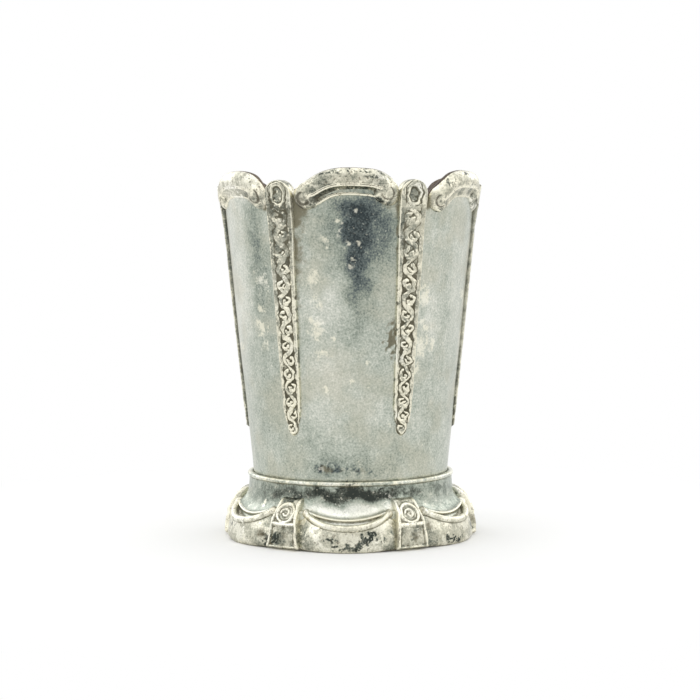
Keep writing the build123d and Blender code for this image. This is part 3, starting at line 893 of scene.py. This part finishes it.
def make_straps():
    """Six ornament straps with rails, a running scroll and an oval at the head."""
    toe_rows = strap_toe_z + strap_toe_half * (1 - np.cos(np.linspace(0.05, pi / 2, toe_count)))
    head_rows = strap_head_z + strap_head_half * np.sin(np.linspace(0, pi / 2 - 0.03, head_count))
    side_rows = np.linspace(toe_rows[-1], strap_head_z, strap_count)
    z_rows = np.concatenate((toe_rows[:-1], side_rows[:-1], head_rows))
    half = strap_half(z_rows)
    head_half = half_chord(strap_head_half, z_rows - strap_head_z)
    toe_half = half_chord(strap_toe_half, z_rows - strap_foot_z) * strap_half(strap_foot_z) / strap_toe_half
    half = np.where(z_rows > strap_head_z, head_half, np.where(z_rows < strap_foot_z, toe_half, half))
    waist = 0.2 * smooth(strap_toe_z + 7, strap_toe_z + 2, z_rows)
    half = half * (1 - waist * np.cos(pi * (z_rows - strap_toe_z) / toe_lobes) ** 6)
    across = np.linspace(-1, 1, strap_columns)[None, :]
    x = half[:, None] * across
    z = z_rows[:, None] + 0 * x
    crest = np.interp(z, *zip(*strap_crests))
    back_depth = np.where(z > valley_height - 0.4, -cup_wall, -solder_gap)
    bearing = np.degrees(x / cup_radius(z))
    back = on_round(bearing, cup_radius(z) + back_depth, z)[:, ::-back_step]
    high = smooth(28, 52, z)
    flat = np.stack((x, z, 0 * x), axis=-1)
    back_columns = back.shape[1]
    facing_in = with_back(np.zeros(x.shape, bool), back_columns, True)
    oval_foot = oval_z - 2 * oval_half_width
    for i in range(LOBES):
        age = strap_age[i]
        shaky_x = x + uneven(flat, 1.1, strap_shake, 3 + 9 * i)
        shaky_x = shaky_x + uneven(flat, 0.5, 0.4 * strap_shake, 8 + 9 * i)
        shaky_z = z + uneven(flat, 1.4, 1.6 * strap_shake, 6 + 9 * i)
        raised, dimple = strap_relief(shaky_x, shaky_z)
        faint = smooth(-0.25, 0.35, uneven(flat, 1.6, 1, 4 + 7 * i))
        raised = 1 - (1 - raised) * (1 - 0.4 * faint)
        edge = strap_edge(x, z) * np.where(z < strap_foot_z + 6, (half / strap_half(z_rows))[:, None], 1)
        melted = smooth(0.05, 0.45, uneven(flat, 2.6, 1, 2 + 5 * i)) * high
        raised = raised * (1 - 0.45 * melted)
        raised = raised + (0.62 - raised) * 0.45 * smooth(38, 48, z) * (1 - dimple) * (z < oval_foot)
        lumpy = np.minimum(uneven(flat, 0.8, 0.22, 12 + 9 * i), 0)
        flat_worn = 1 - 1.1 * age
        rail_side = smooth(rail_at(z) + 0.1, rail_at(z) - 0.1, edge)
        lumpy = lumpy * flat_worn * (1 - 0.7 * rail_side)
        height = crest - field_depth * (1 - raised) * flat_worn - 0.1 * dimple + lumpy
        height = height * smooth(-0.05, 0.14, edge)
        front = on_round(bearing, cup_radius(z) + height, z)
        flank = smooth(0.12, 0.02, edge)
        # Painted shade on the flanks, deeper with the tarnish of the worn straps
        flank_dirt_and_shade = 0.1 + 1.25 * age
        ground = 1.05 - 0.75 * dimple - 0.5 * smooth(39, 46, z) * (1 - dimple)
        # Dirt with painted shade in the sunk ground between the raised scroll, and darker towards the top
        # below the roll; the raised parts get wear and a painted highlight
        dirt_and_shade = (1 - raised) * ground * smooth(-0.02, 0.1, edge) * (1 - 0.7 * age) + flank_dirt_and_shade * flank
        dirt_and_shade = dirt_and_shade + 0.3 * smooth(49.5, 52.5, z) * (1 - 0.6 * raised) * (1 - 0.8 * dimple) + 0.06 * dimple
        dirt_and_shade = dirt_and_shade + 0.5 * mount_dirt_and_shade(turned(front, strap_azimuth(i))) + 0.12 * age
        dull = high * strap_tarnish[i]
        rubbed_and_highlight = raised * (0.55 - 0.26 * dull) * (1 - 0.15 * rail_side) - 2 * flank_dirt_and_shade * flank
        bright = 0.42 + 0.21 * raised - 0.06 * dimple - 0.65 * flank_dirt_and_shade * flank
        bright = bright - 0.12 * dull - 0.2 * age
        points = turned(np.concatenate((front, back), axis=1), strap_azimuth(i))
        tone = with_back(bright, back_columns, 0.3)
        grime_and_shade = with_back(dirt_and_shade, back_columns, 0.5)
        wear_and_highlight = with_back(rubbed_and_highlight * (1 - age), back_columns, 0)
        materials = (side_silver if age else strap_silver, inside_brown)
        add_piece(f"strap_{i + 1}", materials, points, tone, grime_and_shade, wear_and_highlight, inside=facing_in)


def foot_profile():
    """Closed section of the foot, with tone, grime and painted shade, and wear and painted highlight along
    it.
    """
    lip_turn = np.linspace(pi / 2, -pi / 2, lip_count)
    lip = section(collar_radius + 0.22 * np.cos(lip_turn), collar_top + 0.3 * (np.sin(lip_turn) - 1))
    collar = section(collar_radius - 0.02, np.linspace(collar_top - 0.75, hollow_top, collar_count))
    turn = np.linspace(0, pi / 2, hollow_count)[1:]
    flare, drop = hollow_foot_radius - collar_radius, hollow_top - hollow_foot
    hollow = section(hollow_foot_radius - flare * np.cos(turn), hollow_top - drop * np.sin(turn))
    bead_turn = np.linspace(pi / 2, -pi / 2, edge_count)
    bead_up = hollow_foot - 0.2 + 0.2 * np.sin(bead_turn)
    bead = section(hollow_foot_radius + 0.2 * np.cos(bead_turn), bead_up)
    ledge_up = np.linspace(hollow_foot - 0.6, ledge_height, ledge_count)
    ledge = section(np.linspace(hollow_foot_radius, ledge_radius, ledge_count), ledge_up)
    side = section(ledge_radius, np.linspace(ledge_height - 0.4, 0, side_count))
    inner = ledge_radius - foot_wall
    seat = seat_height - solder_gap
    throat = base_radius - seat_width
    seat_low = seat - seat_thickness
    inside = (
        (inner, 0), (inner, ledge_height - foot_wall), (collar_radius - foot_wall, seat_low),
        (throat, seat_low), (throat, seat), (cup_radius(seat) + solder_gap, seat),
        (cup_radius(collar_top) + solder_gap, collar_top),
    )
    parts = (lip, collar, hollow, bead, ledge, side, inside)
    # The lip and the bead are lighter, with wear and a painted highlight along their rounded tops
    tones = (0.7, 0.53, 0.53, 0.8, 0.7, 0.5, 0.3)
    dirt_and_shade_levels = (0.12, 0.2, 0, 0, 0.1, 0.3, 0.6)
    wear_and_highlight_levels = (0.36, 0, 0.12, 0.45, 0.1, 0, 0)
    counts = [len(part) for part in parts]
    return np.concatenate(parts), *(np.repeat(values, counts) for values in (tones, dirt_and_shade_levels, wear_and_highlight_levels))


def make_foot():
    """Cast hollow foot, with the edge of its hollow curve dipping under each lobe."""
    profile, tone, dirt_and_shade, wear_and_highlight = foot_profile()
    azimuth = all_round(foot_columns)
    z = profile[:, 1][None, :] + 0 * azimuth
    dip = np.clip((from_lobe(azimuth) / lobe_half_angle) ** 2, 0, 1) * foot_smile - 0.15
    band = smooth(ledge_height, hollow_foot - 0.2, z) * smooth(hollow_top, hollow_foot, z)
    z = z + dip * band * (profile[:, 0] > collar_radius - 0.5)
    aside = smooth(15, 19, np.abs(from_lobe(azimuth)))
    on_bead = (np.abs(profile[:, 1] - hollow_foot + 0.2) < 0.21) & (profile[:, 0] > collar_radius)
    radius = profile[:, 0] - aside * on_bead * (profile[:, 0] - hollow_foot_radius)
    points = on_round(azimuth, radius, z)
    low_part = (profile[:, 1] < hollow_foot) & (profile[:, 1] > ledge_height - 0.1)
    calm = aside * low_part
    kept = 1 - calm
    tone = tone + calm * (0.55 - tone)
    add_piece("foot", (hollow_silver,), points, tone, dirt_and_shade * kept, wear_and_highlight * kept, True)


def petal_radius(z):
    """How far a petal's face stands from the axis of its plan curve at height z."""
    lift = np.clip((z - petal_toe) / petal_rise, 0, 1)
    return petal_plan_radius - petal_depth + petal_depth * np.sqrt(1 - lift**2)


def make_petals():
    """Six petals: a bulging face with a beaded, dipped edge and a knob at each end."""
    beta = np.linspace(-petal_end, petal_end, petal_count)[:, None]
    share = beta / petal_end
    past_knob = (np.abs(beta) - knob_angle) / (petal_end - knob_angle)
    edge_z = petal_edge_z + petal_dip * np.clip(np.abs(beta) / knob_angle, 0, 1) ** 2.2
    from_knob = np.radians(np.abs(beta) - knob_angle) * knob_plan
    ball = knob_radius * np.sqrt(np.clip(1 - (from_knob / knob_radius) ** 2, 0, 1))
    bead = np.maximum(bead_radius * smooth(0.6, 0, from_knob) + 0.05, ball)
    face_share = np.linspace(0, 1, face_count)[None, :]
    bottom_z = 0.04 + petal_lift * np.abs(share) ** 2
    face_top = edge_z - 0.55 * bead_radius - 0.9 * smooth(0, 1, past_knob)
    face_z = bottom_z + face_share * (face_top - bottom_z)
    toe_curl = 0.3 * smooth(0.9, 0, face_z) ** 2
    dished = 0.1 * smooth(0.55, 1, face_share) * smooth(0, 0.3, 1 - face_share)
    face_r = petal_radius(face_z) - toe_curl - dished
    turn = np.linspace(-0.32 * pi, 1.05 * pi, bead_count)[None, :]
    bead_r = petal_radius(edge_z) - 0.2 + bead * np.cos(turn)
    bead_z = edge_z + 0.1 + bead * np.sin(turn)
    back_r = petal_radius(edge_z) - np.array(((0.7, 1.2, 1.8, 2.2, 3),))
    back_z = (edge_z + 0.12, edge_z + 0.24, edge_z + 0.42, 0.5 * edge_z, 0.01 * edge_z)
    radius = np.concatenate((face_r, bead_r, back_r), axis=1)
    z = np.concatenate((face_z, bead_z, *back_z), axis=1)
    angle = np.radians(beta)
    base = np.stack((petal_axis + radius * np.cos(angle), radius * np.sin(angle), z), axis=-1)
    on_bead = slice(face_count, face_count + bead_count)
    off_bead = np.ones(z.shape, bool)
    off_bead[:, on_bead] = False
    # The top of the bead gets wear and a painted highlight, and the face just under it gets painted shade
    crest = np.zeros(z.shape)
    crest[:, on_bead] = ridge(turn - 0.3 * pi, 0.62 * pi)
    shade_under_bead = np.zeros(z.shape)
    shade_under_bead[:, :face_count] = np.exp(-(1 - face_share) / 0.06) * 0.12
    # Dirt with painted shade at the ends beside the brackets, and painted shade where the face turns in
    # towards them
    beside = smooth(0.88, 1, np.abs(share)) * off_bead
    greyed = smooth(0.5, 0.82, np.abs(share)) * off_bead
    wear_and_highlight = 0.62 * crest + 0.4 * smooth(1.2, 0.2, z) * off_bead + 0.34 * smooth(0.3, 0.8, z / 4.5) * off_bead
    wear_and_highlight = wear_and_highlight * (1 - 0.75 * greyed)
    grime_and_shade = np.clip(shade_under_bead + 0.22 * beside, 0, 1)
    tone = 0.8 + 0.12 * crest - 0.06 * beside - 0.26 * greyed
    for i in range(LOBES):
        points = dented(turned(base, lobe_azimuth(i)), 1.9, 0.16, 11)
        dirt_and_shade = np.clip(grime_and_shade + 0.9 * mount_dirt_and_shade(points) * off_bead, 0, 1)
        add_piece(f"foot_petal_{i + 1}", (foot_silver,), points, tone, dirt_and_shade, wear_and_highlight)


def bracket_relief(x, z, half):
    """Raised lines of a bracket, as a share of its field's depth, and its sunk lower panel."""
    rails = ridge(half - np.abs(x) - 0.8 * bracket_ridge, bracket_ridge)
    bar = ridge(z - bar_height, 0.4) * (np.abs(x) < half)
    reach = np.hypot(x / ring_half_width, (z - ring_height) / ring_half_height)
    ring = ridge((reach - 1) * ring_half_width, ring_line)
    swirl_turn = np.arctan2(z - ring_height, x)
    swirl = ridge((reach - 0.36 - 0.05 * swirl_turn) * ring_half_width, 0.24) * (reach < 0.8) * 0.8
    rails = rails * (1 - 0.45 * smooth(bar_height, bar_height - 0.6, z))
    toe = 0.5 * ridge(z - 0.35, 0.4)
    raised = np.maximum.reduce((rails, 0.8 * bar, ring, swirl, toe))
    return raised, smooth(bar_height, bar_height - 0.8, z)


def make_brackets():
    """Six brackets on the foot: side ridges, an oval ring above a bar and a sunk panel below."""
    rise = bracket_top - petal_toe
    turn = np.linspace(0, pi / 2, bracket_count)
    low = np.linspace(bracket_toe_z, petal_toe, toe_rows_count)[:-1]
    z_rows = np.concatenate((low, petal_toe + rise * np.sin(turn)))
    toe_round = 0.25 * smooth(petal_toe, bracket_toe_z, low)
    top_turn = bracket_depth * np.cos(turn) - 0.6 * smooth(0.4 * pi, 0.5 * pi, turn)
    out_rows = np.concatenate((bracket_depth - toe_round, top_turn))
    root = bracket_reach - bracket_back - bracket_depth
    across = np.linspace(-1, 1, bracket_columns)[None, :]
    half = np.interp(z_rows, (0, bracket_top), (bracket_toe_half, bracket_top_half))[:, None]
    x = half * across
    z = z_rows[:, None] + 0 * x
    raised, panel = bracket_relief(x, z, half)
    depth = bracket_field * (1 - raised) * (0.8 + 0.2 * panel) * smooth(bracket_top, bracket_top - 1.1, z)
    lean = np.concatenate((np.zeros(len(low)), turn))[:, None]
    front_x = root + out_rows[:, None] - depth * np.cos(lean)
    front_z = np.maximum(z - depth * np.sin(lean) * 0.9, 0.3)
    front = np.stack((front_x, x, front_z), axis=-1)
    deep = np.interp(z, (0, ledge_height, hollow_foot, hollow_top), bracket_back_radii)
    back = np.stack((np.minimum(deep, front_x - 0.1), x, front_z), axis=-1)[:, ::-1]
    base = np.concatenate((front, back), axis=1)
    sunk = 1 - raised
    # Dirt with painted shade in the sunk field, less towards the top; the raised lines get wear and a
    # painted highlight
    sunk_dirt_and_shade = sunk * (0.24 + 0.12 * panel - 0.2 * smooth(6.4, 7.6, z))
    grime_and_shade = with_back(sunk_dirt_and_shade, bracket_columns, 0.15)
    wear_and_highlight = with_back(0.66 * raised, bracket_columns, 0.1)
    tone = with_back(0.58 + 0.22 * raised - 0.06 * panel * sunk, bracket_columns, 0.72)
    for i in range(LOBES):
        points = turned(base, strap_azimuth(i))
        dents = uneven(points, 1, 0.16, 17)
        sideways = uneven(points, 1.3, 0.2, 23)
        inward = np.stack((np.minimum(dents, 0), sideways, 0 * dents), axis=-1)
        points = points + turned(inward, strap_azimuth(i))
        dirt_and_shade = np.clip(grime_and_shade + 0.8 * mount_dirt_and_shade(points), 0, 1)
        add_piece(f"foot_bracket_{i + 1}", (foot_silver,), points, tone, dirt_and_shade, wear_and_highlight)


make_cup()
make_rolls()
make_straps()
make_foot()
make_petals()
make_brackets()

# Floor, world and lamps: a white table under soft studio light
FLOOR_SIZE = 3
FLOOR_WHITE = (0.93, 0.93, 0.925, 1)
FLOOR_PALE = (0.95, 0.95, 0.95, 1)
FLOOR_FADE = (0.03, 0.09)
AMBIENT = 0.86
RAY_KINDS = ("Camera", "Glossy", "Transmission")
LAMPS = (
    # name, place in metres, size, radiance
    ("top_softbox", (0.05, -0.05, 0.75), 0.9, 0.55),
    ("left_softbox", (-0.6, -0.25, 0.35), 0.45, 0.9),
    ("right_softbox", (0.62, -0.2, 0.32), 0.45, 0.7),
    ("back_left_softbox", (-0.45, 0.45, 0.3), 0.4, 1.1),
    ("back_right_softbox", (0.45, 0.45, 0.3), 0.4, 1),
)


def seen_directly(tree):
    """1 for rays from the camera, reflections or glass, and 0 for the light on other things."""
    rays = tree.nodes.new("ShaderNodeLightPath").outputs
    camera, glossy, clear = (Value(tree, rays[f"Is {kind} Ray"]) for kind in RAY_KINDS)
    return math_node(tree, "MAXIMUM", math_node(tree, "MAXIMUM", camera, glossy), clear)


def make_floor():
    """Pale, faintly uneven floor, which fades to white away from the object."""
    mesh = bpy.data.meshes.new("floor")
    half = FLOOR_SIZE / 2
    corners = [(-half, -half, 0), (half, -half, 0), (half, half, 0), (-half, half, 0)]
    mesh.from_pydata(corners, [], [(0, 1, 2, 3)])
    floor = new_object("floor", mesh)
    material, surface, place = new_material("floor_white")
    tree = place.tree
    feed(mixed(noise_at(place, 6), FLOOR_WHITE, FLOOR_PALE), surface.inputs["Base Color"])
    feed(0.9, surface.inputs["Roughness"])
    reach = shader_node(tree, "VectorMath", {0: place}, "Value", operation="LENGTH")
    seen = seen_directly(tree)
    far = between(reach, *FLOOR_FADE) * seen
    glow = shader_node(tree, "Emission", {"Color": (1, 1, 1, 1), "Strength": 1})
    blend = shader_node(tree, "MixShader", {0: far, 1: Value(tree, surface.outputs[0]), 2: glow})
    feed(blend, tree.nodes["Material Output"].inputs["Surface"])
    mesh.materials.append(material)


def make_world():
    """White surroundings for the camera and reflections, softer for diffuse light."""
    world = bpy.data.worlds.new("studio")
    bpy.context.scene.world = world
    world.use_nodes = True
    tree = world.node_tree
    background = tree.nodes["Background"]
    feed((1, 1, 1, 1), background.inputs["Color"])
    feed(seen_directly(tree) * (1 - AMBIENT) + AMBIENT, background.inputs["Strength"])


def make_lamps():
    """Soft square lamps that look at the middle of the object."""
    target = Vector((0, 0, cad_high.z / 2))
    for name, place, size, radiance in LAMPS:
        lamp = bpy.data.lights.new(name, "AREA")
        lamp.shape = "SQUARE"
        lamp.size = size
        lamp.energy = radiance * pi * size**2
        rig = new_object(name, lamp)
        rig.location = place
        rig.rotation_euler = (target - Vector(place)).to_track_quat("-Z", "Y").to_euler()


# Camera: close to eye level with the rim, turned a little to the right of lobe 1
CAMERA_DISTANCE = 0.268
CAMERA_HEIGHT = 0.0439
CAMERA_TURN = 1.7
CAMERA_PITCH = 3.16
CAMERA_ROLL = -0.25
SENSOR_WIDTH = 36
FOCAL_PIXELS = 1690
IMAGE_PIXELS = 700


def make_camera():
    """Camera at the photograph's viewing angle."""
    lens = bpy.data.cameras.new("camera")
    lens.sensor_width = SENSOR_WIDTH
    lens.lens = SENSOR_WIDTH * FOCAL_PIXELS / IMAGE_PIXELS
    lens.clip_start = 0.01
    camera = new_object("camera", lens)
    turn = radians(CAMERA_TURN)
    camera.location = (CAMERA_DISTANCE * sin(turn), -CAMERA_DISTANCE * cos(turn), CAMERA_HEIGHT)
    aim = Matrix.Rotation(turn, 3, "Z") @ Matrix.Rotation(radians(90 - CAMERA_PITCH), 3, "X")
    camera.rotation_euler = (aim @ Matrix.Rotation(radians(CAMERA_ROLL), 3, "Z")).to_euler()
    bpy.context.scene.camera = camera


make_floor()
make_world()
make_lamps()
make_camera()
bpy.context.scene.view_settings.view_transform = "Standard"
